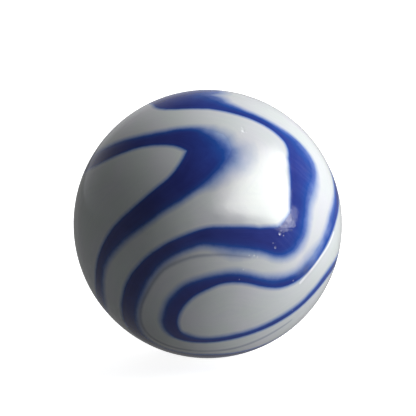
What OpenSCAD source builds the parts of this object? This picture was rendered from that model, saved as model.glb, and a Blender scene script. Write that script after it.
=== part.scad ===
// Glass playing marble: an opal white ball with cobalt and grey streaks laid into its surface.
//
// The origin is the ball's centre and +Z is up. A place on the ball is [longitude, latitude, half-width]
// in degrees: longitude 0 faces -Y and grows towards +X, and latitude 90 is the top. Each streak follows
// a smooth curve through its places. It is widest at the surface and narrows to a keel inside the glass,
// so that neighbouring streaks never meet below the surface.

/* [Ball] */
// Diameter of the ball
ball_d = 16; // [12:0.5:50]

/* [Streaks] */
// Depth of a streak's keel, as a share of the streak's half-width at the surface
keel_share = 0.9; // [0.7:0.05:1.1]
// Least depth of a keel, as a share of the ball's radius
keel_least = 0.045; // [0.04:0.005:0.06]
// Straight steps that the curve takes from one place to the next
steps = 4; // [3:1:5]

/* [Colours] */
// Colour of the opal glass
white = "#ECEEEC"; // [#ECEEEC:Opal, #F4EFE2:Ivory]
// Colour of the bold streaks
cobalt = "#22348C"; // [#22348C:Cobalt, #1E6B52:Green, #A8321E:Red]
// Colour of the faint streaks
grey = "#8E93B4"; // [#8E93B4:Grey blue, #9AA39A:Grey green]

/* [Hidden] */
ball_r = ball_d / 2;
ball_facets = 240;
// How far a streak's walls run on past the surface, counted in lengths from keel to surface
overrun = 1.15;
// How far before and after a place its direction of travel is taken, in steps from place to place
reach = 0.1;

// The bold ribbon, one closed loop: over the top, down the right side to the elbow, across the front,
// round under the ball and up the back
main_loop = [
    [0, 73.8, 6.6], [16, 69.6, 3.7], [32, 64, 2.4], [41, 59.5, 2], [50.5, 51.7, 2.3], [55.5, 43.5, 4.2],
    [55, 34.7, 7.7], [49.4, 27.2, 6.9], [44, 19.6, 5.2], [41.3, 12.6, 4.8], [39.2, 7, 4.8],
    [35.3, 2.6, 4.4], [30, 1.6, 4.4], [24.5, 3.8, 4.5], [18, 5.6, 4.4], [10, 6.2, 4.2], [0, 7, 3.3],
    [-8, 4.8, 2.7], [-15, 1.4, 2.7], [-21, -3, 2.8], [-27, -9, 3.3], [-33, -17, 3.7], [-38, -25, 3.5],
    [-42.5, -33, 3.6], [-46.5, -42, 3.9], [-47, -51, 4.2], [-40, -58.4, 3.8], [-22, -63, 3.7],
    [2, -64.3, 3.7], [27, -63, 3.1], [48.5, -58.8, 2.8], [67, -50.6, 2.7], [86, -42.2, 3],
    [110, -40, 4], [135, -36, 6], [157, -23, 7],
    [170, -3, 6.2], [180, 18, 6.4], [-168, 38, 6], [-147, 54.5, 5], [-112, 68.3, 5.2],
    [-80, 73, 7.2], [-50, 74, 8.8]];

// The web that fills the inner corner of the bold ribbon's elbow
elbow_web = [
    [18.5, 8.4, 0.8], [22.8, 7.4, 2.1], [26.7, 7.3, 2.1], [29.9, 7.2, 2.1], [32.9, 8.2, 2.2],
    [35.7, 10.6, 2.1], [38.3, 14, 1.5], [39.7, 17, 0.5]];

// The smear that carries the bold ribbon's top on over the pole
crown_smear = [
    [-8, 75.5, 0.6], [-22, 80, 4.5], [-45, 84, 7.5], [-110, 86, 8], [-165, 82, 6.2], [-176, 76, 3.2],
    [-178, 71.5, 0.5]];

// The hook: an arm that comes round the left side into a round knob, and a band that leaves the knob
hook_arm = [
    [-124, -9, 0.4], [-116, 1, 2.2], [-101, 16, 3], [-84, 27.5, 3.2], [-70, 34, 3.8], [-57, 40, 3.5],
    [-43, 45, 2.8], [-30, 48, 3.3], [-18, 49.2, 4.5], [-8, 48.3, 6.3], [1, 45.5, 7.6], [8, 43, 6],
    [12, 41.5, 2]];
hook_band = [
    [6, 52, 2.5], [4, 47.5, 6.8], [0, 42, 8.2], [-5, 35, 7.2], [-12.5, 27.5, 5.6], [-21.5, 20.5, 4.8],
    [-30.5, 13, 4.2], [-38.5, 6, 3.7], [-45, -1, 2.9], [-50, -8, 2.4], [-54, -15, 2.3], [-58, -22, 2.5],
    [-64, -29.5, 2.9], [-75, -36, 3.3], [-90, -38.5, 3], [-104, -36, 2], [-114, -31, 0.4]];

// The spiral: over the right shoulder, across the front, round in a coil and back to the right side
spiral_line = [
    [172, 66, 0.4], [146, 66, 1.3], [122, 58, 1.6], [105, 46, 1.8], [97, 33, 2.1], [87, 21.5, 2.8],
    [77.5, 14, 2.9], [68, 8.2, 2.8], [60.6, 2, 2.4], [53.4, -4.4, 2], [46.4, -9.8, 1.9], [40, -13.4, 1.9],
    [32, -14.8, 1.8], [24, -13.6, 1.7], [17, -11.4, 1.7], [10, -10.4, 1.8], [3, -11.4, 2.1],
    [-6, -15, 2.9], [-12.6, -20.8, 3], [-16.6, -27.2, 3], [-18.8, -34, 3.1], [-17.8, -40, 3],
    [-10.5, -43.8, 2.2], [0, -44.6, 1.5], [12.2, -43, 1.4], [26.8, -39.2, 1.3], [38.8, -34.4, 1.3],
    [48.8, -29, 1.4], [56.6, -23.2, 1.5], [63.5, -18.2, 1.8], [71.5, -14.8, 2], [83, -12.5, 1.9],
    [97, -12, 1.9], [113, -14, 1.6], [127, -19, 0.4]];

// The faint grey line inside the coil of the bold ribbon
wisp_line = [
    [17.5, -2, 0.4], [11, -1, 0.6], [4, -0.4, 0.7], [-7, -1.6, 0.8], [-18, -7.3, 0.8], [-25.8, -17.1, 0.8], [-32.5, -27.5, 0.8],
    [-36.5, -38, 0.9], [-36, -46, 1.1], [-28, -52, 1.2], [-14, -55, 1.2], [2, -55.3, 1.2],
    [18, -53.5, 1.2], [31, -48.8, 1.2], [42, -42.5, 1], [50, -37, 0.5]];

// Streaks of the far side
rear_line = [
    [-150, 19, 0.4], [-146, 5, 2.2], [-148, -12, 3], [-157, -27, 2.8], [-169, -39, 1.8],
    [178, -48, 0.4]];
rear_hook_line = [
    [121, 47, 0.4], [134, 44.5, 2.6], [146, 35, 3.8], [148, 21, 3.6], [139, 10, 2.8], [127, 8, 1.8],
    [118, 14, 0.4]];
side_line = [[-96, 2, 0.4], [-102, -7, 1.6], [-101, -17, 1.8], [-92, -24, 0.4]];
base_line = [
    [-72, -70, 0.4], [-97, -73, 1.8], [-136, -71, 2.6], [-175, -66, 2.4], [152, -65, 1.5], [132, -70, 0.4]];
shoulder_line = [[-103, 41, 0.5], [-116, 41.5, 1.1], [-129, 37, 1.2], [-139, 29, 0.5]];

function unit(v) = v / norm(v);

// Unit vector and half-width of a place
function knot(p) = [cos(p[1]) * sin(p[0]), -cos(p[1]) * cos(p[0]), sin(p[1]), p[2]];

// Place number i of a line, held at its ends or carried round a loop
function pick(line, i, closed) =
    knot(line[closed ? (i + len(line)) % len(line) : max(0, min(len(line) - 1, i))]);

// Catmull-Rom curve from b to c, at t from 0 to 1
function curve(a, b, c, d, t) =
    b + t / 2 * (c - a + t * (2 * a - 5 * b + 4 * c - d + t * (3 * b - 3 * c + d - a)));

// Direction from the ball's centre and half-width, after u places along a line
function along(line, u, closed) =
    let (i = floor(u),
         q = curve(pick(line, i - 1, closed), pick(line, i, closed), pick(line, i + 1, closed),
                   pick(line, i + 2, closed), u - i))
    [unit([q[0], q[1], q[2]]), q[3]];

// The wedge's corners after u places: left rim, right rim and keel
function wedge(line, u, closed) =
    let (here = along(line, u, closed),
         way = along(line, u + reach, closed)[0] - along(line, u - reach, closed)[0],
         out = here[0],
         side = unit(cross(out, way)),
         angle = here[1],
         depth = max(keel_least, keel_share * angle * PI / 180),
         keel = out * (1 - depth),
         left = out * cos(angle) + side * sin(angle),
         right = out * cos(angle) - side * sin(angle))
    [keel + (left - keel) * overrun, keel + (right - keel) * overrun, keel] * ball_r;

// A streak's wedge, from well inside the ball to just outside it
module blade(line, closed = false) {
    spans = closed ? len(line) : len(line) - 1;
    rings = spans * steps + (closed ? 0 : 1);
    points = [for (i = [0 : rings - 1]) each wedge(line, i / steps, closed)];
    strip = [for (i = [0 : spans * steps - 1])
        let (l = 3 * i, r = l + 1, k = l + 2,
             nl = 3 * ((i + 1) % rings), nr = nl + 1, nk = nl + 2)
        each [[l, nl, nr], [l, nr, r], [k, nk, nl], [k, nl, l], [nk, k, r], [nk, r, nr]]];
    last = 3 * (rings - 1);
    ends = closed ? [] : [[0, 1, 2], [last + 1, last, last + 2]];
    polyhedron(points, concat(strip, ends));
}

module ball() { sphere(ball_r, $fn = ball_facets); }

module main_blade() { blade(main_loop, closed = true); blade(elbow_web); blade(crown_smear); }
module hook_blade() { blade(hook_arm); blade(hook_band); }
module spiral_blade() { blade(spiral_line); }
module wisp_blade() { blade(wisp_line); }
module rear_blade() { blade(rear_line); }
module rear_hook_blade() { blade(rear_hook_line); }
module side_blade() { blade(side_line); }
module base_blade() { blade(base_line); }
module shoulder_blade() { blade(shoulder_line); }

// The opal glass, with a groove for every streak
module opal_body() {
    color(white) difference() {
        ball();
        main_blade();
        hook_blade();
        spiral_blade();
        wisp_blade();
        rear_blade();
        rear_hook_blade();
        side_blade();
        base_blade();
        shoulder_blade();
    }
}

// A streak of coloured glass that fills its groove and ends flush with the ball
module streak(tint) { color(tint) intersection() { ball(); union() children(); } }

module main_ribbon() { streak(cobalt) main_blade(); }
module hook_ribbon() { streak(cobalt) hook_blade(); }
module spiral_ribbon() { streak(cobalt) spiral_blade(); }
module grey_wisp() { streak(grey) wisp_blade(); }
module rear_streak() { streak(cobalt) rear_blade(); }
module rear_hook() { streak(cobalt) rear_hook_blade(); }
module side_streak() { streak(cobalt) side_blade(); }
module base_streak() { streak(cobalt) base_blade(); }
module shoulder_wisp() { streak(grey) shoulder_blade(); }

opal_body();
main_ribbon();
hook_ribbon();
spiral_ribbon();
grey_wisp();
rear_streak();
rear_hook();
side_streak();
base_streak();
shoulder_wisp();
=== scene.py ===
"""Looks of a glass playing marble: opal white glass with cobalt and grey streaks laid into its surface.

The ball is built as one fine triangle mesh that is cut along the outlines of the CAD streaks. Each streak's
piece is the cut-out skin closed by its keel. The opal piece is the rest of the skin closed by the grooves.

Lengths are in metres and angles in degrees. A place is a longitude and a latitude: longitude 0 faces -Y and
grows towards +X, and latitude 90 is the top. A direction is a unit vector from the ball's centre to a place.
"""

import math

import bmesh
import bpy
import numpy as np
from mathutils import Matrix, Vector, noise
from mathutils.bvhtree import BVHTree
from mathutils.kdtree import KDTree


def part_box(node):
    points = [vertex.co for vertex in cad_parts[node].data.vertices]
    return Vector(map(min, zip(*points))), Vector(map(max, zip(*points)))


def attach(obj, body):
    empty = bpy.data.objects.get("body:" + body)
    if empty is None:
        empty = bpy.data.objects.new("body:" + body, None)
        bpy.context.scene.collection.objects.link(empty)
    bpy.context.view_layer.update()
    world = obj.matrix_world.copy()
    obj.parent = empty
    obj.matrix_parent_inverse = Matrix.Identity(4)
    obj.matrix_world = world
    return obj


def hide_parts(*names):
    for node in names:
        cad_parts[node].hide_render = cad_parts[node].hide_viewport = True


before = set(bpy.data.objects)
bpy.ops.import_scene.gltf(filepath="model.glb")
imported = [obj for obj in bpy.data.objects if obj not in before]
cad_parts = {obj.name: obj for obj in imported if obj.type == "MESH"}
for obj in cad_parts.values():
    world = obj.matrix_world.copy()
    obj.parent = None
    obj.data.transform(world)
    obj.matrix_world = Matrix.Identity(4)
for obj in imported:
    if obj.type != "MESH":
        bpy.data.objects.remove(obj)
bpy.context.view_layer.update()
BODY = "root"
OPAL = "opal_body"

# Material slot of each kind of glass
# Per streak: its glass, and the place that its crisp side faces
STREAKS = {
    "main_ribbon": ("cobalt", (-60, 25)),
    "hook_ribbon": ("cobalt", (-75, 5)),
    "spiral_ribbon": ("cobalt", (60, -60)),
    "grey_wisp": ("grey", None),
    "rear_streak": ("cobalt", (-100, 0)),
    "rear_hook": ("cobalt", (130, 28)),
    "side_streak": ("cobalt", (-130, -10)),
    "base_streak": ("cobalt", (180, -40)),
    "shoulder_wisp": ("grey", None),
}

# How far the colour fades, outwards into the opal and inwards into the streak
CRISP = (0.6, 0.4)
SOFT = (0.95, 1.1)
WISP = (0.5, 0.8)
CRISP_TURN = 0.6        # span of the cosine over which an outline goes from crisp to soft as it turns away
TURN_SAMPLES = 41       # outline samples over which that turn is evened out
HEADING_SAMPLES = 3     # samples ahead and behind that give an outline's heading
# Places where a soft side trails off further: longitude, latitude, reach, extra outwards, extra inwards
# The veil at 55, 84 lightens the streak at the top of the ball, as painted sheen
VEILS = [
    (14, 49, 10, 1.2, 6.0), (14, 40, 6, 2.8, 0.6), (4, 33, 6, 1.4, 0.4), (55, 84, 13, 1.4, 6.0),
    (-92, 32, 14, 0.4, 0.2), (62, 36, 13, 0.0, 4.0), (54, 17, 12, 1.0, 2.8), (12, 1, 8, 1.0, 0.4),
    (40, -4, 9, 0.6, 0.8), (66, 6, 10, 0.0, 1.4), (49, -7, 7, 0.7, 3.2), (60, -1, 7, 0.0, 2.4),
    (43, 4, 6, 0.2, 2.2), (30, -12, 6, 0.4, 0.6),
]
# Places where a streak's edge is only a haze: longitude, latitude, reach, shift of its colour towards white
HAZE = [
    (3, 53, 5, 0.5), (11, 52, 5.5, 1.1), (17, 48, 5, 1.0), (20, 43, 4, 0.5), (43, -10, 5, 0.35),
    (49, -6.5, 5, 0.5), (55, -2, 5, 0.5), (61, 3, 5, 0.5), (45, 5, 6, 0.3), (53, 17, 7, 0.3),
]
# Places with threads and painted glare, with painted shade, and with thinned-out colour: longitude,
# latitude, reach, share
# Lighter threads along the flow lines, painted paler where glare and sheen are mirrored on the cobalt
THREADS_AND_GLARE = [(55, 28, 11, 1.0), (36, 5, 6, 0.8), (-100, 83, 9, 0.6)]
# Painted shade: a few spots where the glass is darkened towards grey-blue
PAINTED_SHADE = [
    (45.5, -11, 2.4, 0.55), (42, -11.5, 2.2, 0.3), (49, -8.5, 2.0, 0.3), (5, 14.5, 4.5, 0.10),
    (14, 14.5, 4.5, 0.15), (23, 13.5, 4.5, 0.15),
]
# The first two thinned spots, at the top of the ball, are painted sheen
THINNED_AND_SHEEN = [(-50, 82, 8, 0.25), (50, 85, 6, 0.6), (61, 40, 7, 0.35), (50, -7, 6, 0.4)]
WIDE_FADE = 1.0         # outlines with a wider fade than this are felt beyond the nearest outline
WIDE_SPACING = 0.8      # spacing of the points at which they are felt
MOST_FADE = 6.0

# Reading the CAD's streaks
WELD = 1e-7             # corners in the same cell of this size are joined
SKIN_MARGIN = 1e-3      # corners this near the ball's radius, as a share of it, are on the skin
SKIN_FACING = 0.7       # least cosine between a skin triangle's normal and the way out
PROBE_START = 1.2       # rays that ask for the streak at a place start at this many radii
PROBE_LENGTH = 0.4      # and are this many radii long
TINY = 1e-20            # keeps divisions by a length from failing
FAR = 1e9               # stands for a distance that no place has

# Mesh
ICO_LEVEL = 7           # 81,920 triangles with edges of about 1.1 degrees
OUTLINE_BAND = 1.6      # triangles this near an outline are refined once
GREY_BAND = OUTLINE_BAND * 0.7      # and this near a grey outline once more
SNAP = 0.1              # corners this near an outline are moved onto it
SAMPLE = 0.1            # spacing of the points that stand for an outline
CUT_ROUNDS = 10         # halvings in the search for where an edge crosses an outline
KEEL_SLOPE = 0.35       # least slope of a groove's wall where the CAD's groove is shallower
BATCH = 4000            # directions that are worked on at a time
MARK_ROUNDS = 3         # rounds of refining near the crease and the pits
GRIT_ROUNDS = 2         # rounds of refining near the grit
CREASE_ZONE = 2.2       # reaches round the crease that are refined in the first round
PIT_ZONE = 2.6          # reaches round a pit that are refined in the first round
ZONE_STEP = 0.5         # and how much smaller both get in each further round

# Small dents left by bubbles at the surface: longitude, latitude, radius, depth in metres
PITS = [
    (24.4, 52.3, 1.0, 26e-6), (24.9, 54.2, 0.7, 14e-6), (26.4, 51.6, 0.6, 12e-6), (22.6, 51.0, 0.5, 9e-6),
    (-30.5, 24, 0.5, 14e-6), (19, -1.4, 0.6, 14e-6), (20.4, -1.9, 0.45, 10e-6), (16.9, -1.2, 0.5, 10e-6),
    (14.6, -6.9, 0.5, 12e-6), (13.1, -11.2, 0.45, 10e-6), (38.9, -14.5, 0.5, 12e-6),
    (45.1, -30.5, 0.5, 12e-6),
    (30.6, 6.5, 0.8, 14e-6), (32.4, 5.6, 0.45, 10e-6), (28.3, 1.1, 0.7, 12e-6), (27.4, 3.0, 0.5, 9e-6),
    (-60, -12, 0.45, 9e-6), (118, -28, 0.6, 12e-6), (150, 55, 0.5, 11e-6), (-155, -15, 0.6, 12e-6),
    (-172, 8, 0.45, 10e-6), (90, 62, 0.5, 9e-6), (-118, 20, 0.5, 10e-6),
]
GLINT_FULL_DEPTH = 26e-6     # a pit this deep gets the full painted glint inside, a shallower one less so
# A fine crease along the spiral's lower edge, with a raised lip painted whiter as a highlight: places, reach
# and height in metres
CREASE = [(43.5, -16.3), (46.3, -13.8), (49.8, -11.1), (55, -7), (60.1, -3.6), (63.2, -1.2), (65.9, 1.2)]
CREASE_REACH = 0.9
CREASE_HEIGHT = 5e-6
MARK_EDGE, CREASE_EDGE = 1.5, 1.8   # how sharply a mark and the crease's painted highlight end
PEEL = [(1.3, 2.6e-6), (2.9, 0.8e-6)]   # unevenness of the skin: waves per millimetre, height
# Grit scratched into the skin by the elbow: place, reach in degrees, waves per millimetre, height
GRIT = ((37, 7), 8.0, 5.5, 2.2e-6)
GRIT_MARGIN = 1.0       # degrees round the grit that are refined too
MILLIMETRES = 1000.0    # in a metre


# ---------------------------------------------------------------- directions and angles

def place(lon, lat):
    """Direction of a place on the ball."""
    lon, lat = math.radians(lon), math.radians(lat)
    return np.array([math.cos(lat) * math.sin(lon), -math.cos(lat) * math.cos(lon), math.sin(lat)])


def unit(vectors):
    return vectors / np.linalg.norm(vectors, axis=-1, keepdims=True)


def angle(a, b):
    """Angle in degrees between directions, exact for small angles."""
    return np.degrees(2 * np.arcsin(np.clip(np.linalg.norm(a - b, axis=-1) / 2, 0, 1)))


def nearness(directions, lon, lat, reach):
    """1 at a place, dying away with its reach like a bell."""
    return np.exp(-(angle(directions, place(lon, lat)) / reach) ** 2)


def plateau(distance, reach, edge=MARK_EDGE):
    """1 near a mark, falling to 0 at its reach. The greater the edge, the longer it stays 1."""
    return np.clip(edge - edge * distance / reach, 0, 1)


def dome(share):
    """1 in the middle of a mark, curving down to 0 where the share of its reach is 1."""
    return np.clip(1 - share * share, 0, 1) ** 2


def spots(directions, places):
    """Strength of the strongest of several marks: longitude, latitude, reach and full strength of each."""
    strength = np.zeros(len(directions))
    for lon, lat, reach, full in places:
        strength = np.maximum(strength, full * nearness(directions, lon, lat, reach))
    return strength


# ---------------------------------------------------------------- the CAD nodes

def ball_of_frame():
    """Centre and radius of the CAD ball."""
    boxes = [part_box(name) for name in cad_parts]
    low = np.min([np.array(box[0]) for box in boxes], axis=0)
    high = np.max([np.array(box[1]) for box in boxes], axis=0)
    return (low + high) / 2, float(high[2] - low[2]) / 2


CENTRE, RADIUS = ball_of_frame()


def welded(name):
    """Corners relative to the ball's centre and triangles of a CAD node, with doubled corners joined."""
    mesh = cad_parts[name].data
    mesh.calc_loop_triangles()
    corners = np.zeros(len(mesh.vertices) * 3, np.float32)
    mesh.vertices.foreach_get("co", corners)
    corners = corners.reshape(-1, 3).astype(float) - CENTRE
    triangles = np.zeros(len(mesh.loop_triangles) * 3, np.int32)
    mesh.loop_triangles.foreach_get("vertices", triangles)
    cells = np.round(corners / WELD).astype(np.int64)
    _, first, joined = np.unique(cells, axis=0, return_index=True, return_inverse=True)
    triangles = joined.reshape(-1)[triangles.reshape(-1, 3)]
    a, b, c = triangles.T
    return corners[first], triangles[(a != b) & (b != c) & (c != a)]


def skin_of(corners, triangles):
    """The triangles of a streak that lie on the ball's surface."""
    on_skin = np.abs(np.linalg.norm(corners, axis=1) - RADIUS) < RADIUS * SKIN_MARGIN
    a, b, c = (corners[triangles[:, i]] for i in range(3))
    normal = np.cross(b - a, c - a)
    normal /= np.maximum(np.linalg.norm(normal, axis=1, keepdims=True), TINY)
    facing_out = (normal * unit(a + b + c)).sum(1) > SKIN_FACING
    return triangles[on_skin[triangles].all(1) & facing_out]


def loops_of(triangles):
    """The closed lines round a patch of triangles, each a list of corners with the patch on its left."""
    edges = {(int(t[i]), int(t[(i + 1) % 3])) for t in triangles for i in range(3)}
    after = {a: b for a, b in edges if (b, a) not in edges}
    loops = []
    while after:
        here = min(after)
        loop = []
        while here in after:
            loop.append(here)
            here = after.pop(here)
        loops.append(loop)
    return loops


def outline_samples(corners, loop):
    """Directions along a loop, at most SAMPLE apart."""
    stops = unit(corners[loop])
    samples = []
    for a, b in zip(stops, np.roll(stops, -1, axis=0)):
        count = max(1, math.ceil(angle(a, b) / SAMPLE))
        steps = np.arange(count)[:, None] / count
        samples.append(a * (1 - steps) + b * steps)
    return unit(np.concatenate(samples))


def outward_of(samples):
    """Directions along the surface, away from the patch that lies on the left of a loop."""
    ahead = unit(np.roll(samples, -HEADING_SAMPLES, axis=0) - np.roll(samples, HEADING_SAMPLES, axis=0))
    return unit(np.cross(ahead, samples))


def evened_out(values):
    """Values round a closed loop, each averaged with its neighbours."""
    half = TURN_SAMPLES // 2
    weights = np.hanning(TURN_SAMPLES)
    ring = np.concatenate([values[-half:], values, values[:half]])
    return np.convolve(ring, weights / weights.sum(), mode="valid")


def softness(name, loops):
    """For each outline loop of a streak, how soft each sample's side is, from 0 crisp to 1 soft."""
    crisp_side = STREAKS[name][1]
    if crisp_side is None:
        return [np.ones(len(samples)) for samples in loops]
    pole = place(*crisp_side)
    if len(loops) > 1:      # a closed ribbon: the loop nearest the pole is crisp, the other soft
        nearest = [angle(samples, pole).min() for samples in loops]
        return [np.full(len(samples), float(far > min(nearest))) for samples, far in zip(loops, nearest)]
    out = []
    for samples in loops:
        to_pole = unit(pole - samples * (samples @ pole)[:, None])
        facing = (outward_of(samples) * to_pole).sum(1)
        soft = np.clip(0.5 - facing / CRISP_TURN, 0, 1)
        out.append(evened_out(soft * soft * (3 - 2 * soft)))
    return out


def fade_widths(name, samples, soft):
    """Outward and inward fade width of each sample."""
    if STREAKS[name][0] == "grey":
        return [np.full(len(samples), width) for width in WISP]
    widths = []
    for side in (0, 1):
        wide = np.full(len(samples), SOFT[side])
        for lon, lat, reach, *extra in VEILS:
            wide += extra[side] * nearness(samples, lon, lat, reach)
        widths.append(CRISP[side] + (wide - CRISP[side]) * soft)
    return widths


def triangle_search(corners, triangles):
    return BVHTree.FromPolygons([Vector(corner) for corner in corners], triangles.tolist())


class Outlines:
    """The outlines of all streaks as points, and which streak a place belongs to."""

    def __init__(self):
        self.names = list(STREAKS)
        self.keels = []
        self.skin_streak = []
        self.count = 0
        rows = []
        skin_corners, skin_triangles = np.zeros((0, 3)), []
        for k, name in enumerate(self.names):
            corners, triangles = welded(name)
            skin = skin_of(corners, triangles)
            self.keels.append(triangle_search(corners, triangles))
            skin_triangles.append(skin + len(skin_corners))
            skin_corners = np.concatenate([skin_corners, corners])
            self.skin_streak += [k] * len(skin)
            loops = [outline_samples(corners, loop) for loop in loops_of(skin)]
            rows += [self.loop_row(k, samples, soft) for samples, soft in zip(loops, softness(name, loops))]
        self.skins = triangle_search(skin_corners, np.concatenate(skin_triangles))
        joined = [np.concatenate(column) for column in zip(*rows)]
        self.points, self.outward, self.after, self.before = joined[:4]
        self.streak, self.out_width, self.in_width = joined[4:]
        self.grey = np.array([STREAKS[name][0] == "grey" for name in self.names])[self.streak]
        self.tree = self.tree_of(np.arange(len(self.points)))
        self.blue_tree = self.tree_of(np.flatnonzero(~self.grey))
        self.grey_tree = self.tree_of(np.flatnonzero(self.grey))

    def loop_row(self, k, samples, soft):
        """What is kept of a loop: points, way out, numbers of the next and last point, streak, fades."""
        steps = np.arange(len(samples))
        after = self.count + (steps + 1) % len(samples)
        before = self.count + (steps - 1) % len(samples)
        self.count += len(samples)
        out_width, in_width = fade_widths(self.names[k], samples, soft)
        return samples, outward_of(samples), after, before, np.full(len(samples), k), out_width, in_width

    def tree_of(self, chosen):
        tree = KDTree(len(chosen))
        for i in chosen:
            tree.insert(self.points[i], i)
        tree.balance()
        return tree

    def owner(self, direction):
        """The number of the streak at a place, or -1 for the opal glass."""
        out = Vector(direction)
        hit = self.skins.ray_cast(out * RADIUS * PROBE_START, -out, RADIUS * PROBE_LENGTH)
        return -1 if hit[2] is None else self.skin_streak[hit[2]]

    def owners(self, directions):
        return np.array([self.owner(direction) for direction in directions])

    def nearest(self, directions, tree=None):
        """For each place: angle to the nearest outline, the point there, and the nearest sample's number."""
        tree = tree or self.tree
        found = np.array([tree.find(direction)[1] for direction in directions])
        best = np.full(len(directions), FAR)
        point = np.zeros_like(directions)
        for other in (self.after, self.before):
            start = self.points[found]
            step = self.points[other[found]] - start
            length = np.maximum((step * step).sum(1), TINY)
            along = np.clip(((directions - start) * step).sum(1) / length, 0, 1)
            foot = unit(start + step * along[:, None])
            distance = angle(directions, foot)
            closer = distance < best
            best[closer], point[closer] = distance[closer], foot[closer]
        return best, point, found

    def fade(self, directions, distance, found, inside):
        """How far into or out of the colour a place is, counted in fade widths of the ruling outline."""
        value = np.zeros(len(directions))
        for chosen, width, facing in ((inside, self.in_width, -1.0), (~inside, self.out_width, 1.0)):
            group = np.flatnonzero(chosen)
            value[group] = distance[group] / width[found[group]]
            for i in range(0, len(group), BATCH):
                part = group[i:i + BATCH]
                value[part] = np.minimum(value[part], self.wide_fade(directions[part], width, facing))
        return np.minimum(value, MOST_FADE)

    def wide_fade(self, directions, width, facing):
        """The same count, for the widely fading cobalt outlines that turn the given side to each place."""
        keep = np.arange(0, len(self.points), round(WIDE_SPACING / SAMPLE))
        keep = keep[(width[keep] > WIDE_FADE) & ~self.grey[keep]]
        chord = np.sqrt(np.maximum(2 - 2 * (directions @ self.points[keep].T), 0))
        value = np.degrees(chord) / width[keep]
        value[(directions @ self.outward[keep].T) * facing <= 0] = FAR
        return value.min(1)


# ---------------------------------------------------------------- the cut mesh

def icosphere():
    bm = bmesh.new()
    bmesh.ops.create_icosphere(bm, subdivisions=ICO_LEVEL, radius=1.0)
    bm.verts.ensure_lookup_table()
    directions = unit(np.array([corner.co for corner in bm.verts], float))
    triangles = np.array([[corner.index for corner in face.verts] for face in bm.faces])
    bm.free()
    return directions, triangles


def refine(directions, triangles, near):
    """Splits each edge whose two ends are near, so triangles become four, two or stay whole."""
    edges = np.sort(np.concatenate([triangles[:, pair] for pair in ([0, 1], [1, 2], [2, 0])]), axis=1)
    split = np.unique(edges[near[edges].all(1)], axis=0)
    middle = {}
    for i, (a, b) in enumerate(split.tolist()):
        middle[(a, b)] = len(directions) + i
    directions = np.concatenate([directions, unit(directions[split[:, 0]] + directions[split[:, 1]])])
    out = []
    for a, b, c in triangles.tolist():
        ab = middle.get((a, b) if a < b else (b, a))
        bc = middle.get((b, c) if b < c else (c, b))
        ca = middle.get((c, a) if c < a else (a, c))
        if ab and bc and ca:
            out += [(a, ab, ca), (ab, b, bc), (ca, bc, c), (ab, bc, ca)]
        elif ab:
            out += [(a, ab, c), (ab, b, c)]
        elif bc:
            out += [(b, bc, a), (bc, c, a)]
        elif ca:
            out += [(c, ca, b), (ca, a, b)]
        else:
            out.append((a, b, c))
    return directions, np.array(out)


def crease_distance(directions):
    """Angle from each place to the crease's middle line."""
    best = np.full(len(directions), FAR)
    stops = [place(*stop) for stop in CREASE]
    for a, b in zip(stops, stops[1:]):
        along = np.clip(((directions - a) @ (b - a)) / ((b - a) @ (b - a)), 0, 1)
        best = np.minimum(best, angle(directions, unit(a + (b - a) * along[:, None])))
    return best


def refine_near_marks(directions, triangles):
    """Finer triangles near the pits, the crease and the grit."""
    for done in range(MARK_ROUNDS):
        near = crease_distance(directions) < CREASE_REACH * (CREASE_ZONE - ZONE_STEP * done)
        if done < GRIT_ROUNDS:
            near |= angle(directions, place(*GRIT[0])) < GRIT[1] + GRIT_MARGIN
        for lon, lat, reach, _ in PITS:
            near |= angle(directions, place(lon, lat)) < reach * (PIT_ZONE - ZONE_STEP * done)
        directions, triangles = refine(directions, triangles, near)
    return directions, triangles


def fine_sphere(lines):
    """A sphere of triangles that are finer near the outlines and the marks."""
    directions, triangles = icosphere()
    near = lines.nearest(directions)[0] < OUTLINE_BAND
    directions, triangles = refine(directions, triangles, near)
    near = lines.nearest(directions, lines.grey_tree)[0] < GREY_BAND
    directions, triangles = refine(directions, triangles, near)
    return refine_near_marks(directions, triangles)


def fan(polygon):
    return [[polygon[0], b, c] for b, c in zip(polygon[1:], polygon[2:])]


class Crossings:
    """Cuts triangles that an outline crosses, and keeps the new corners, one per crossed edge."""

    def __init__(self, lines, directions, side):
        self.lines, self.directions, self.side = lines, directions, side
        self.new, self.number = [], {}

    def search(self, a, b):
        """The point between corners a and b where the outline is crossed, found by halving."""
        low, high = self.directions[a], self.directions[b]
        for _ in range(CUT_ROUNDS):
            middle = (low + high) / 2
            if (self.lines.owner(unit(middle)) >= 0) == (self.side[a] < 0):
                low = middle
            else:
                high = middle
        return unit((low + high) / 2)

    def corner(self, a, b):
        """Number of the new corner between corners a and b."""
        edge = (a, b) if a < b else (b, a)
        if edge not in self.number:
            self.number[edge] = len(self.directions) + len(self.new)
            self.new.append(self.search(*edge))
        return self.number[edge]

    def parts(self, triangle):
        """The triangles that lie inside the outline, and those that lie outside it."""
        inner, outer = [], []
        for a, b in zip(triangle, triangle[1:] + triangle[:1]):
            if self.side[a] <= 0:
                inner.append(a)
            if self.side[a] >= 0:
                outer.append(a)
            if self.side[a] * self.side[b] < 0:
                inner.append(self.corner(a, b))
                outer.append(self.corner(a, b))
        return fan(inner), fan(outer)


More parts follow.
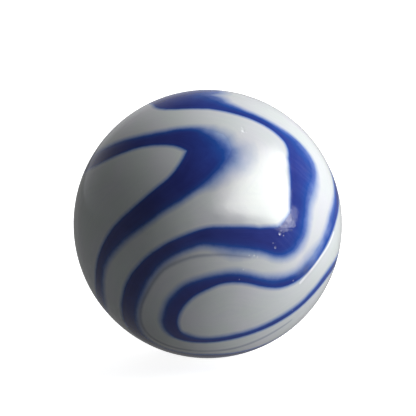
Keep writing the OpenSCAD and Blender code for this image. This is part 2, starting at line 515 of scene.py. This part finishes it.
def cut(lines, directions, triangles):
    """Cuts the triangles along the outlines.

    Returns the corners, the opal triangles, the triangles per streak, and which corners are on an outline.
    """
    owner = lines.owners(directions)
    distance, point, found = lines.nearest(directions)
    on_line = distance < SNAP
    directions = directions.copy()
    directions[on_line] = point[on_line]
    side = np.where(on_line, 0, np.where(owner >= 0, -1, 1))    # -1 inside a streak, 1 outside
    streak = np.where(on_line, lines.streak[found], owner)
    sides = side[triangles]
    touches_in, touches_out = sides.min(1) < 0, sides.max(1) > 0
    inner_streak = np.where(sides < 0, streak[triangles], -1).max(1)
    opal = triangles[touches_out & ~touches_in].tolist()
    streaks = [[] for _ in lines.names]
    whole = touches_in & ~touches_out
    for triangle, k in zip(triangles[whole].tolist(), inner_streak[whole]):
        streaks[k].append(triangle)
    for triangle in triangles[~touches_in & ~touches_out].tolist():
        k = lines.owner(unit(directions[triangle].sum(0)))
        (opal if k < 0 else streaks[k]).append(triangle)
    crossings = Crossings(lines, directions, side)
    crossed = touches_in & touches_out
    for triangle, k in zip(triangles[crossed].tolist(), inner_streak[crossed]):
        inner, outer = crossings.parts(triangle)
        streaks[k] += inner
        opal += outer
    rim = np.concatenate([on_line, np.ones(len(crossings.new), bool)])
    directions = np.concatenate([directions, np.array(crossings.new).reshape(-1, 3)])
    return directions, np.array(opal), [np.array(part) for part in streaks], rim


# ---------------------------------------------------------------- heights

def skin_height(directions):
    """Height of the skin above the ball's radius: unevenness, grit, the crease's lip and the pits."""
    height = np.zeros(len(directions))
    for i, direction in enumerate(directions):
        spot = Vector(direction) * (RADIUS * MILLIMETRES)
        for waves, size in PEEL:
            height[i] += size * noise.noise(spot * waves)
    spot, reach, waves, size = GRIT
    share = plateau(angle(directions, place(*spot)), reach)
    for i in np.flatnonzero(share):
        height[i] += share[i] * size * noise.noise(Vector(directions[i]) * (RADIUS * MILLIMETRES * waves))
    height += CREASE_HEIGHT * dome(crease_distance(directions) / CREASE_REACH)
    height -= sum(size for _, size in PEEL) + CREASE_HEIGHT     # never above the CAD ball
    for lon, lat, reach, depth in PITS:
        height -= depth * dome(angle(directions, place(lon, lat)) / reach)
    return height


def keel_radius(lines, directions, inside, streaks, distance):
    """Radius of the groove's bottom under each corner that lies inside a streak."""
    least_depth = np.radians(distance) * KEEL_SLOPE * RADIUS
    radius = np.full(len(directions), RADIUS)
    for k, triangles in enumerate(streaks):
        own = np.unique(triangles)
        for i in own[inside[own]]:
            hit = lines.keels[k].ray_cast(Vector((0, 0, 0)), Vector(directions[i]), RADIUS)
            keel = RADIUS if hit[3] is None else hit[3]
            radius[i] = min(keel, RADIUS - least_depth[i])
    return radius


def corner_normals(corners, triangles):
    """Unit normal of each corner, weighted by the areas of its triangles."""
    normals = np.zeros_like(corners)
    a, b, c = (corners[triangles[:, i]] for i in range(3))
    face = np.cross(b - a, c - a)
    for i in range(3):
        np.add.at(normals, triangles[:, i], face)
    return normals / np.maximum(np.linalg.norm(normals, axis=1, keepdims=True), TINY)


# ---------------------------------------------------------------- what the materials read

def inside_of(lines, streaks, rim):
    """Which corners are inside a streak, and which belong to a grey one."""
    inside, is_grey = np.zeros(len(rim), bool), np.zeros(len(rim), bool)
    for name, triangles in zip(lines.names, streaks):
        inside[triangles] = True
        is_grey[triangles] = STREAKS[name][0] == "grey"
    return inside & ~rim, is_grey


def blue_field(lines, directions, inside, is_grey, rim):
    """Distance from the cobalt outlines in fade widths: negative inside, 0 on the rim, positive outside."""
    distance, _, found = lines.nearest(directions, lines.blue_tree)
    in_blue = inside & ~is_grey
    blue = lines.fade(directions, distance, found, in_blue)
    # Thinned colour; at the top of the ball this is painted sheen
    for lon, lat, reach, share in THINNED_AND_SHEEN:
        blue *= 1 - share * np.where(inside, nearness(directions, lon, lat, reach), 0)
    blue *= np.where(in_blue, -1, 1)
    blue[rim & ~is_grey] = 0
    return blue + spots(directions, HAZE)


def grey_field(lines, directions, inside, is_grey, rim):
    """Distance from the grey outlines in degrees, with the same signs."""
    grey = np.minimum(lines.nearest(directions, lines.grey_tree)[0], MOST_FADE)
    grey *= np.where(inside & is_grey, -1, 1)
    grey[rim & is_grey] = 0
    return grey


def painted_glint_field(directions):
    """How much whiter the crease's lip is as a painted highlight, and the pits as painted glints."""
    white = plateau(crease_distance(directions), CREASE_REACH, CREASE_EDGE)
    for lon, lat, reach, depth in PITS:
        full = min(1.0, depth / GLINT_FULL_DEPTH)
        white = np.maximum(white, full * plateau(angle(directions, place(lon, lat)), reach))
    return white


# ---------------------------------------------------------------- pieces

def add_piece(name, kind, corners, triangles, normals, fields, materials):
    """A mesh object with one normal per triangle corner, and one value per corner in each field."""
    used, index = np.unique(triangles, return_inverse=True)
    triangles = index.reshape(-1, 3)
    mesh = bpy.data.meshes.new(name)
    mesh.from_pydata((corners[used] + CENTRE).tolist(), [], triangles.tolist())
    mesh.polygons.foreach_set("use_smooth", np.ones(len(triangles), bool))
    for field, values in fields.items():
        attribute = mesh.attributes.new(field, "FLOAT", "POINT")
        attribute.data.foreach_set("value", values[used].astype(np.float32))
    mesh.normals_split_custom_set(normals.reshape(-1, 3).tolist())
    mesh.update()
    mesh.materials.append(materials[kind])
    piece = bpy.data.objects.new(name, mesh)
    bpy.context.scene.collection.objects.link(piece)
    return piece


def build_pieces(materials):
    """The opal piece and one piece per streak, each closed, on the ball's body in place of its CAD node."""
    lines = Outlines()
    directions, opal, streaks, rim = cut(lines, *fine_sphere(lines))
    distance = lines.nearest(directions)[0]
    distance[rim] = 0
    inside, is_grey = inside_of(lines, streaks, rim)
    fields = {
        "blue": blue_field(lines, directions, inside, is_grey, rim),
        "grey": grey_field(lines, directions, inside, is_grey, rim),
        "span": distance,
        # lip: painted highlight on the crease's lip and painted glints in the pits
        "lip": painted_glint_field(directions),
        "silk": spots(directions, THREADS_AND_GLARE),
        "smoke": spots(directions, PAINTED_SHADE),
    }
    fields = {field: np.concatenate([values, values]) for field, values in fields.items()}
    skin = directions * (RADIUS + skin_height(directions))[:, None]
    bottom = directions * keel_radius(lines, directions, inside, streaks, distance)[:, None]
    corners = np.concatenate([skin, bottom])
    # a groove's corners are numbered after the skin's, apart from the rim's, which both share
    grooves = [np.where(rim[triangles], triangles, triangles + len(rim)) for triangles in streaks]
    all_grooves = np.concatenate(grooves)
    skin_normals = corner_normals(corners, np.concatenate([opal] + streaks))
    groove_normals = corner_normals(corners, all_grooves)
    normals = np.concatenate([skin_normals[opal], groove_normals[all_grooves]])
    made = {OPAL: add_piece(OPAL + "_glass", "opal", corners, np.concatenate([opal, all_grooves]), normals,
                            fields, materials)}
    for name, triangles, groove in zip(lines.names, streaks, grooves):
        keel = groove[:, ::-1]
        normals = np.concatenate([skin_normals[triangles], -groove_normals[keel]])
        made[name] = add_piece(name + "_glass", STREAKS[name][0], corners, np.concatenate([triangles, keel]),
                               normals, fields, materials)
    for node, piece in made.items():
        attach(piece, BODY)
        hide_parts(node)


# ---------------------------------------------------------------- materials

class Nodes:
    """Short calls for building the node tree of a material or a world."""

    def __init__(self, owner):
        owner.use_nodes = True
        self.tree = owner.node_tree
        self.tree.nodes.clear()

    def feed(self, socket, value):
        """Links a socket to another one, or gives it a plain value."""
        if isinstance(value, bpy.types.NodeSocket):
            self.tree.links.new(value, socket)
        else:
            socket.default_value = value

    def add(self, kind, values=(), **settings):
        node = self.tree.nodes.new(kind)
        for key, value in settings.items():
            setattr(node, key, value)
        for key, value in dict(values).items():
            self.feed(node.inputs[key], value)
        return node

    def math(self, operation, a, b=0.0, c=0.0):
        return self.add("ShaderNodeMath", {0: a, 1: b, 2: c}, operation=operation).outputs[0]

    def total(self, *terms):
        """The sum of values, each times its weight."""
        total = 0.0
        for value, weight in terms:
            total = self.math("MULTIPLY_ADD", value, weight, total)
        return total

    def dot(self, vector, axis):
        node = self.add("ShaderNodeVectorMath", {0: vector, 1: axis}, operation="DOT_PRODUCT")
        return node.outputs["Value"]

    def field(self, name):
        return self.add("ShaderNodeAttribute", attribute_name=name).outputs["Fac"]

    def noise(self, vector, scale, detail, roughness):
        values = {"Vector": vector, "Scale": scale, "Detail": detail, "Roughness": roughness}
        return self.add("ShaderNodeTexNoise", values).outputs["Fac"]

    def ramp(self, share, stops):
        node = self.add("ShaderNodeValToRGB", {"Fac": share})
        line = node.color_ramp
        while len(line.elements) < len(stops):
            line.elements.new(0.5)
        for element, (at, colour) in zip(line.elements, stops):
            element.position, element.color = at, (*colour, 1.0)
        return node.outputs["Color"]

    def mix(self, share, a, b, blend="MIX"):
        """Colour between a and b. The numbers are those of the node's sockets for colours."""
        node = self.add("ShaderNodeMix", data_type="RGBA", blend_type=blend)
        self.feed(node.inputs[0], share)
        for key, colour in ((6, a), (7, b)):
            self.feed(node.inputs[key], (*colour, 1.0) if isinstance(colour, tuple) else colour)
        return node.outputs[2]

    def times(self, a, b):
        return self.mix(1.0, a, b, "MULTIPLY")

    def spread(self, value, span, out=(0.0, 1.0)):
        """Maps a span of values to another one, and holds the ends."""
        ends = {"From Min": span[0], "From Max": span[1], "To Min": out[0], "To Max": out[1]}
        return self.add("ShaderNodeMapRange", {"Value": value, **ends}).outputs["Result"]

    def ease(self, value, start, end, top=1.0):
        """0 up to the start, then a smooth rise to the top at the end."""
        values = {"Value": value, "From Min": start, "From Max": end, "To Max": top}
        node = self.add("ShaderNodeMapRange", values, interpolation_type="SMOOTHSTEP")
        return node.outputs["Result"]


# Colours along the blue field
WHITE = (0.80, 0.815, 0.815)
COBALT_STOPS = [
    (-3.0, (0.026, 0.042, 0.265)), (-1.4, (0.022, 0.050, 0.30)), (-0.5, (0.016, 0.078, 0.38)),
    (0.0, (0.095, 0.17, 0.50)), (0.4, (0.20, 0.29, 0.59)), (0.9, (0.34, 0.43, 0.68)),
    (1.6, (0.52, 0.58, 0.74)), (2.3, (0.68, 0.71, 0.78)), (3.0, WHITE),
]
# Grey streaks darken and tint whatever they lie in. These multipliers run along the grey field
GREY_STOPS = [
    (-0.7, (0.60, 0.62, 0.68)), (-0.3, (0.72, 0.735, 0.78)), (0.1, (0.90, 0.905, 0.93)),
    (0.6, (1.0, 1.0, 1.0)),
]
RAMP_SPAN = (-3.0, 3.0)
# How the glass inside a streak varies between light and dark, as multipliers of its colour
COBALT_LIGHT, COBALT_DARK = (1.2, 1.2, 1.12), (0.82, 0.80, 0.86)
GREY_LIGHT, GREY_DARK = (1.05, 1.05, 1.07), (0.94, 0.94, 0.96)
# Pale violet of the threads, painted glare on the cobalt
THREADS_AND_GLARE_COLOUR = (0.17, 0.18, 0.42)
# Grey-blue of the painted shade
PAINTED_SHADE_COLOUR = (0.13, 0.15, 0.27)
CHIP_GLINT_COLOUR = (0.62, 0.64, 0.86)        # painted glint in the chips of a streak
OPAL_CHIP_GLINT = (0.97, 0.975, 0.985)        # painted glint in the chips of the opal
# The opal varies between two tints that follow the streaks, times two tints that lie in soft clouds
OPAL_TINTS = ((0.95, 0.955, 0.97), (1.0, 1.0, 0.99))
CLOUD_TINTS = ((0.965, 0.99, 0.955), (1.0, 0.975, 1.0))

NOISE_MIDDLE = 0.5      # what noise comes to on average
# Noise patterns: waves per unit of their vector (millimetres unless said otherwise), detail, roughness
SLOW_EDGE, SLOW_SWING = (0.9, 2.0, 0.5), 1.0        # how the outlines' fade wavers, and how much
QUICK_EDGE, QUICK_SWING = (4.0, 3.0, 0.6), 0.35
FLOW_PATTERN = (1.6, 3.0, 0.65)         # per unit of the flow's own vector
FLOW_ACROSS = 0.35                      # units of that vector per degree away from an outline
FLOW_DRIFT = (0.25, 1.0, 0.5)
THREAD_PATTERN = (1.0, 2.0, 0.6)        # per unit along each of the thread axes
# The threads run along one direction. Their pattern is close across it (first two axes) and long along it
THREAD_AXES = [(2.1, 2.4, 3.1), (1.15, -0.95, 0.0), (0.11, 0.13, -0.18)]
MURK_PATTERN = (0.55, 3.0, 0.5)
GLINT_SPECK_PATTERN = (7.0, 2.0, 0.5)
CLOUD_PATTERN = (0.45, 3.0, 0.5)
POLISH_PATTERN = (2.2, 4.0, 0.6)
PEEL_PATTERN = (2.4, 2.0, 0.45)
GRIT_PATTERN = (9.0, 2.0, 0.5)

# How the patterns add up, and which span of each is spread over what
FLOW_SHARE, MURK_SHARE, THREAD_SHARE = 0.35, 0.55, 0.10
MURK_SPAN = (0.38, 0.64)
THREADS_AND_GLARE_SPAN, THREADS_AND_GLARE_STRENGTH = (0.45, 0.72), (0.0, 0.18)
GLINT_SPECK_SPAN, GLINT_SPECK_STRENGTH = (0.4, 0.6), (0.2, 1.0)
TINT_SPAN, CLOUD_SPAN = (0.3, 0.7), (0.35, 0.65)
POLISH_SPAN, ROUGHNESS = (0.25, 0.75), (0.03, 0.08)
GRIT_HEIGHT = 0.12      # as a share of the peel's height
BUMP_HEIGHT = 7e-6
GLASS_IOR = 1.52


def ramp_stops(stops):
    low, high = RAMP_SPAN
    return [((at - low) / (high - low), colour) for at, colour in stops]


def base_colour(nodes, spot):
    """Colour from the distances to the cobalt and the grey outlines, whose fade wavers a little."""
    slow = nodes.math("SUBTRACT", nodes.noise(spot, *SLOW_EDGE), NOISE_MIDDLE)
    quick = nodes.math("SUBTRACT", nodes.noise(spot, *QUICK_EDGE), NOISE_MIDDLE)
    blue = nodes.math("ADD", nodes.field("blue"), nodes.total((slow, SLOW_SWING), (quick, QUICK_SWING)))
    cobalt = nodes.ramp(nodes.spread(blue, RAMP_SPAN), ramp_stops(COBALT_STOPS))
    grey = nodes.ramp(nodes.spread(nodes.field("grey"), RAMP_SPAN), ramp_stops(GREY_STOPS))
    return nodes.times(cobalt, grey)


def flow_pattern(nodes, spot):
    """Noise that follows the outlines."""
    across = nodes.math("MULTIPLY", nodes.field("span"), FLOW_ACROSS)
    vector = nodes.add("ShaderNodeCombineXYZ", {0: across, 1: nodes.noise(spot, *FLOW_DRIFT)}).outputs[0]
    return nodes.noise(vector, *FLOW_PATTERN)


def thread_pattern(nodes, spot):
    """Noise that is stretched along one direction."""
    along = {i: nodes.dot(spot, axis) for i, axis in enumerate(THREAD_AXES)}
    return nodes.noise(nodes.add("ShaderNodeCombineXYZ", along).outputs[0], *THREAD_PATTERN)


def streak_colour(nodes, spot, colour, light, dark):
    """The colour of a streak's glass: light and dark parts, threads with painted glare, and painted glints
    in chips.
    """
    thread = thread_pattern(nodes, spot)
    flow = flow_pattern(nodes, spot)
    cloud = nodes.noise(spot, *MURK_PATTERN)
    murk = nodes.total((flow, FLOW_SHARE), (cloud, MURK_SHARE), (thread, THREAD_SHARE))
    colour = nodes.mix(nodes.spread(murk, MURK_SPAN), nodes.times(colour, dark), nodes.times(colour, light))
    # Threads painted paler as mirrored glare and sheen
    silk = nodes.math("MULTIPLY", nodes.field("silk"), nodes.spread(thread, THREADS_AND_GLARE_SPAN, THREADS_AND_GLARE_STRENGTH))
    colour = nodes.mix(silk, colour, THREADS_AND_GLARE_COLOUR)
    # Painted glints: pale specks in the pits and on the crease's lip
    speck = nodes.spread(nodes.noise(spot, *GLINT_SPECK_PATTERN), GLINT_SPECK_SPAN, GLINT_SPECK_STRENGTH)
    return nodes.mix(nodes.math("MULTIPLY", nodes.field("lip"), speck), colour, CHIP_GLINT_COLOUR)


def opal_colour(nodes, spot, colour):
    """The colour of the opal glass: two faint tints, and painted glints in chips and on the crease's lip."""
    tint = nodes.mix(nodes.spread(flow_pattern(nodes, spot), TINT_SPAN), *OPAL_TINTS)
    cloud = nodes.mix(nodes.spread(nodes.noise(spot, *CLOUD_PATTERN), CLOUD_SPAN), *CLOUD_TINTS)
    # Painted glints whiten the pits and the crease's lip
    return nodes.mix(nodes.field("lip"), nodes.times(nodes.times(colour, tint), cloud), OPAL_CHIP_GLINT)


def glass(name, light=None, dark=None):
    """Glossy opaque glass. Its colour follows how far a place is into or out of a streak.

    Inside a streak it varies between two multipliers, light and dark. Opal glass has none of them.
    """
    material = bpy.data.materials.new(name)
    nodes = Nodes(material)
    metres = nodes.add("ShaderNodeTexCoord").outputs["Object"]
    scaled = nodes.add("ShaderNodeVectorMath", {0: metres, "Scale": MILLIMETRES}, operation="SCALE")
    spot = scaled.outputs[0]
    colour = base_colour(nodes, spot)
    colour = streak_colour(nodes, spot, colour, light, dark) if light else opal_colour(nodes, spot, colour)
    # Painted shade darkens the colour towards grey-blue
    colour = nodes.mix(nodes.field("smoke"), colour, PAINTED_SHADE_COLOUR)
    rough = nodes.spread(nodes.noise(spot, *POLISH_PATTERN), POLISH_SPAN, ROUGHNESS)
    peel, grit = nodes.noise(spot, *PEEL_PATTERN), nodes.noise(spot, *GRIT_PATTERN)
    height = nodes.total((peel, 1.0), (grit, GRIT_HEIGHT))
    bump = nodes.add("ShaderNodeBump", {"Strength": 1.0, "Distance": BUMP_HEIGHT, "Height": height})
    surface = {"Base Color": colour, "Roughness": rough, "IOR": GLASS_IOR, "Normal": bump.outputs[0]}
    shader = nodes.add("ShaderNodeBsdfPrincipled", surface)
    nodes.add("ShaderNodeOutputMaterial", {"Surface": shader.outputs[0]})
    return material


# ---------------------------------------------------------------- stage, light and camera

CAMERA_DISTANCE = 14.0              # in radii
CAMERA_LIFT = 12.0                  # degrees above the horizon
CAMERA_LENS, SENSOR = 162.5, 36.0   # millimetres
CLIP = (0.1, 400)                   # nearest and farthest that the camera sees, in radii
AIM_UP, AIM_RIGHT = 0.485, 0.009    # the camera looks a little past the ball, which sits low in the frame
BACKDROP = (0.985, 0.985, 0.985)

# Soft panels that face the ball: place, side of the square, radiance, colour
PANEL_DISTANCE = 0.30
DAYLIGHT = (0.955, 0.97, 1.0)
PANELS = {
    "right_panel": ((77, -4), 0.24, 4.1, DAYLIGHT),
    "high_panel": ((95, 46), 0.28, 3.9, DAYLIGHT),
    "rear_panel": ((170, 12), 0.34, 2.2, (1.0, 1.0, 1.0)),
}
LOW_PANEL = "right_panel"           # partly below the floor, so its light passes through everything

# The bright window that the glass mirrors. Each edge runs through two places, has the window's middle on its
# bright side, and comes up from dark to bright over so many degrees.
WINDOW_EDGES = [
    ((40, 67), (100, 67), 28), ((124, 60), (124, 35), 18), ((-18, 60), (-18, 0), 62),
    ((20, 13.5), (60, 0), 12),
]
# The right-hand edge is a bent line: the bright side of any one of its parts will do
WINDOW_BENDS = [((80.5, 4), (82.3, 16), 9), ((82.3, 16), (95, 30), 9), ((95, 30), (122, 34.5), 9)]
WINDOW_MIDDLE = (64, 38)
WINDOW_GLOW = (9.2, 9.2, 8.7)
# Weaker patches at the window's lower right: place, inner and outer reach, share of the window's light
GLARE = [
    ((73, 2), 4, 8, 0.34), ((79, 9), 3, 6, 0.26), ((76, -5), 3, 6, 0.24), ((64, -1), 2, 4, 0.5),
    ((62, -14), 1.5, 3, 0.25),
]
# The rest of the room: walls that are darker on the viewer's side than behind the ball, and a dark ceiling
FRONT_WALL, REAR_WALL, CEILING = (0.16, 0.165, 0.16), (0.42, 0.42, 0.44), (0.10, 0.10, 0.11)
REAR_MIDDLE, REAR_SPAN = (170, -10), (-0.6, 0.9)    # from the front wall to the rear wall
CEILING_SPAN = (0.15, 0.7)                          # heights from the walls to the ceiling
FILL_LIGHT = (0.067, 0.070, 0.070)

FLOOR_RADII, FLOOR_CORNERS = 150, 96
FLOOR_SEEN, FLOOR_LIT, FLOOR_MIRRORED = (0.8, 0.8, 0.8), (0.2, 0.205, 0.21), (0.0, 0.0, 0.0)
FLOOR_GLOW_SEEN, FLOOR_GLOW_MIRRORED = 0.88, 0.22


def aim(item, position, target):
    item.location = position
    item.rotation_euler = (Vector(target) - Vector(position)).to_track_quat("-Z", "Y").to_euler()


def add_camera():
    data = bpy.data.cameras.new("camera")
    data.lens, data.sensor_width = CAMERA_LENS, SENSOR
    data.clip_start, data.clip_end = RADIUS * CLIP[0], RADIUS * CLIP[1]
    camera = bpy.data.objects.new("camera", data)
    bpy.context.scene.collection.objects.link(camera)
    spot = CENTRE + place(0, CAMERA_LIFT) * RADIUS * CAMERA_DISTANCE
    down = math.radians(CAMERA_LIFT - AIM_UP)
    ahead = np.array([math.sin(math.radians(AIM_RIGHT)), math.cos(down), -math.sin(down)])
    aim(camera, spot, spot + ahead)
    bpy.context.scene.camera = camera


def add_panel(name, spot, size, radiance, colour):
    """A square light that is not itself seen or mirrored. Its power follows from its radiance and area."""
    data = bpy.data.lights.new(name, "AREA")
    data.shape, data.size, data.size_y = "RECTANGLE", size, size
    data.energy = radiance * math.pi * size * size
    data.color = colour
    data.use_shadow = name != LOW_PANEL
    light = bpy.data.objects.new(name, data)
    light.visible_camera = False
    light.visible_glossy = False
    bpy.context.scene.collection.objects.link(light)
    aim(light, CENTRE + place(*spot) * PANEL_DISTANCE, CENTRE)


def step_across(nodes, ray, edge):
    """1 on the window's side of an edge, 0 on the other."""
    a, b, soft = edge
    across = unit(np.cross(place(*a), place(*b)))
    across = across if across @ place(*WINDOW_MIDDLE) > 0 else -across
    return nodes.ease(nodes.dot(ray, tuple(across)), 0.0, math.sin(math.radians(soft)))


def window_light(nodes, ray):
    """Share of the window's light that comes from a direction."""
    share = 0.0
    for edge in WINDOW_BENDS:
        share = nodes.math("MAXIMUM", share, step_across(nodes, ray, edge))
    for edge in WINDOW_EDGES:
        share = nodes.math("MULTIPLY", share, step_across(nodes, ray, edge))
    for spot, inner, outer, weight in GLARE:
        near = nodes.dot(ray, tuple(place(*spot)))
        patch = nodes.ease(near, math.cos(math.radians(outer)), math.cos(math.radians(inner)), weight)
        share = nodes.math("MAXIMUM", share, patch)
    return share


def add_world():
    """Dim room with a bright window, seen only in the glass. The camera sees the plain backdrop instead."""
    world = bpy.data.worlds.new("room")
    bpy.context.scene.world = world
    nodes = Nodes(world)
    ray = nodes.add("ShaderNodeTexCoord").outputs["Generated"]
    height = nodes.add("ShaderNodeSeparateXYZ", {0: ray}).outputs[2]
    behind = nodes.dot(ray, tuple(place(*REAR_MIDDLE)))
    wall = nodes.mix(nodes.spread(behind, REAR_SPAN), FRONT_WALL, REAR_WALL)
    mirrored = nodes.mix(nodes.spread(height, CEILING_SPAN), wall, CEILING)
    mirrored = nodes.mix(window_light(nodes, ray), mirrored, WINDOW_GLOW)
    path = nodes.add("ShaderNodeLightPath")
    room = nodes.mix(path.outputs["Is Glossy Ray"], FILL_LIGHT, mirrored)
    seen = nodes.mix(path.outputs["Is Camera Ray"], room, BACKDROP)
    shade = nodes.add("ShaderNodeBackground", {"Color": seen})
    nodes.add("ShaderNodeOutputWorld", {"Surface": shade.outputs[0]})


def floor_material():
    """Cloth that the camera sees as pale as the backdrop, and that the glass mirrors as a dim glow."""
    material = bpy.data.materials.new("pale_floor")
    nodes = Nodes(material)
    path = nodes.add("ShaderNodeLightPath")
    seen, mirrored = path.outputs["Is Camera Ray"], path.outputs["Is Glossy Ray"]
    colour = nodes.mix(seen, nodes.mix(mirrored, FLOOR_LIT, FLOOR_MIRRORED), FLOOR_SEEN)
    cloth = nodes.add("ShaderNodeBsdfDiffuse", {"Color": colour})
    strength = nodes.total((seen, FLOOR_GLOW_SEEN), (mirrored, FLOOR_GLOW_MIRRORED))
    glow = nodes.add("ShaderNodeEmission", {"Color": (*BACKDROP, 1.0), "Strength": strength})
    both = nodes.add("ShaderNodeAddShader", {0: cloth.outputs[0], 1: glow.outputs[0]})
    nodes.add("ShaderNodeOutputMaterial", {"Surface": both.outputs[0]})
    return material


def add_floor():
    """Plain pale floor under the ball, which carries a faint shadow."""
    bm = bmesh.new()
    bmesh.ops.create_circle(bm, cap_ends=True, segments=FLOOR_CORNERS, radius=RADIUS * FLOOR_RADII)
    mesh = bpy.data.meshes.new("floor")
    bm.to_mesh(mesh)
    bm.free()
    mesh.materials.append(floor_material())
    floor = bpy.data.objects.new("floor", mesh)
    floor.location = (CENTRE[0], CENTRE[1], CENTRE[2] - RADIUS)
    bpy.context.scene.collection.objects.link(floor)


def main():
    build_pieces({
        "opal": glass("opal_white_glass"),
        "cobalt": glass("cobalt_blue_glass", COBALT_LIGHT, COBALT_DARK),
        "grey": glass("grey_blue_glass", GREY_LIGHT, GREY_DARK),
    })
    add_floor()
    add_world()
    for name, settings in PANELS.items():
        add_panel(name, *settings)
    add_camera()
    bpy.context.scene.view_settings.view_transform = "Standard"


main()
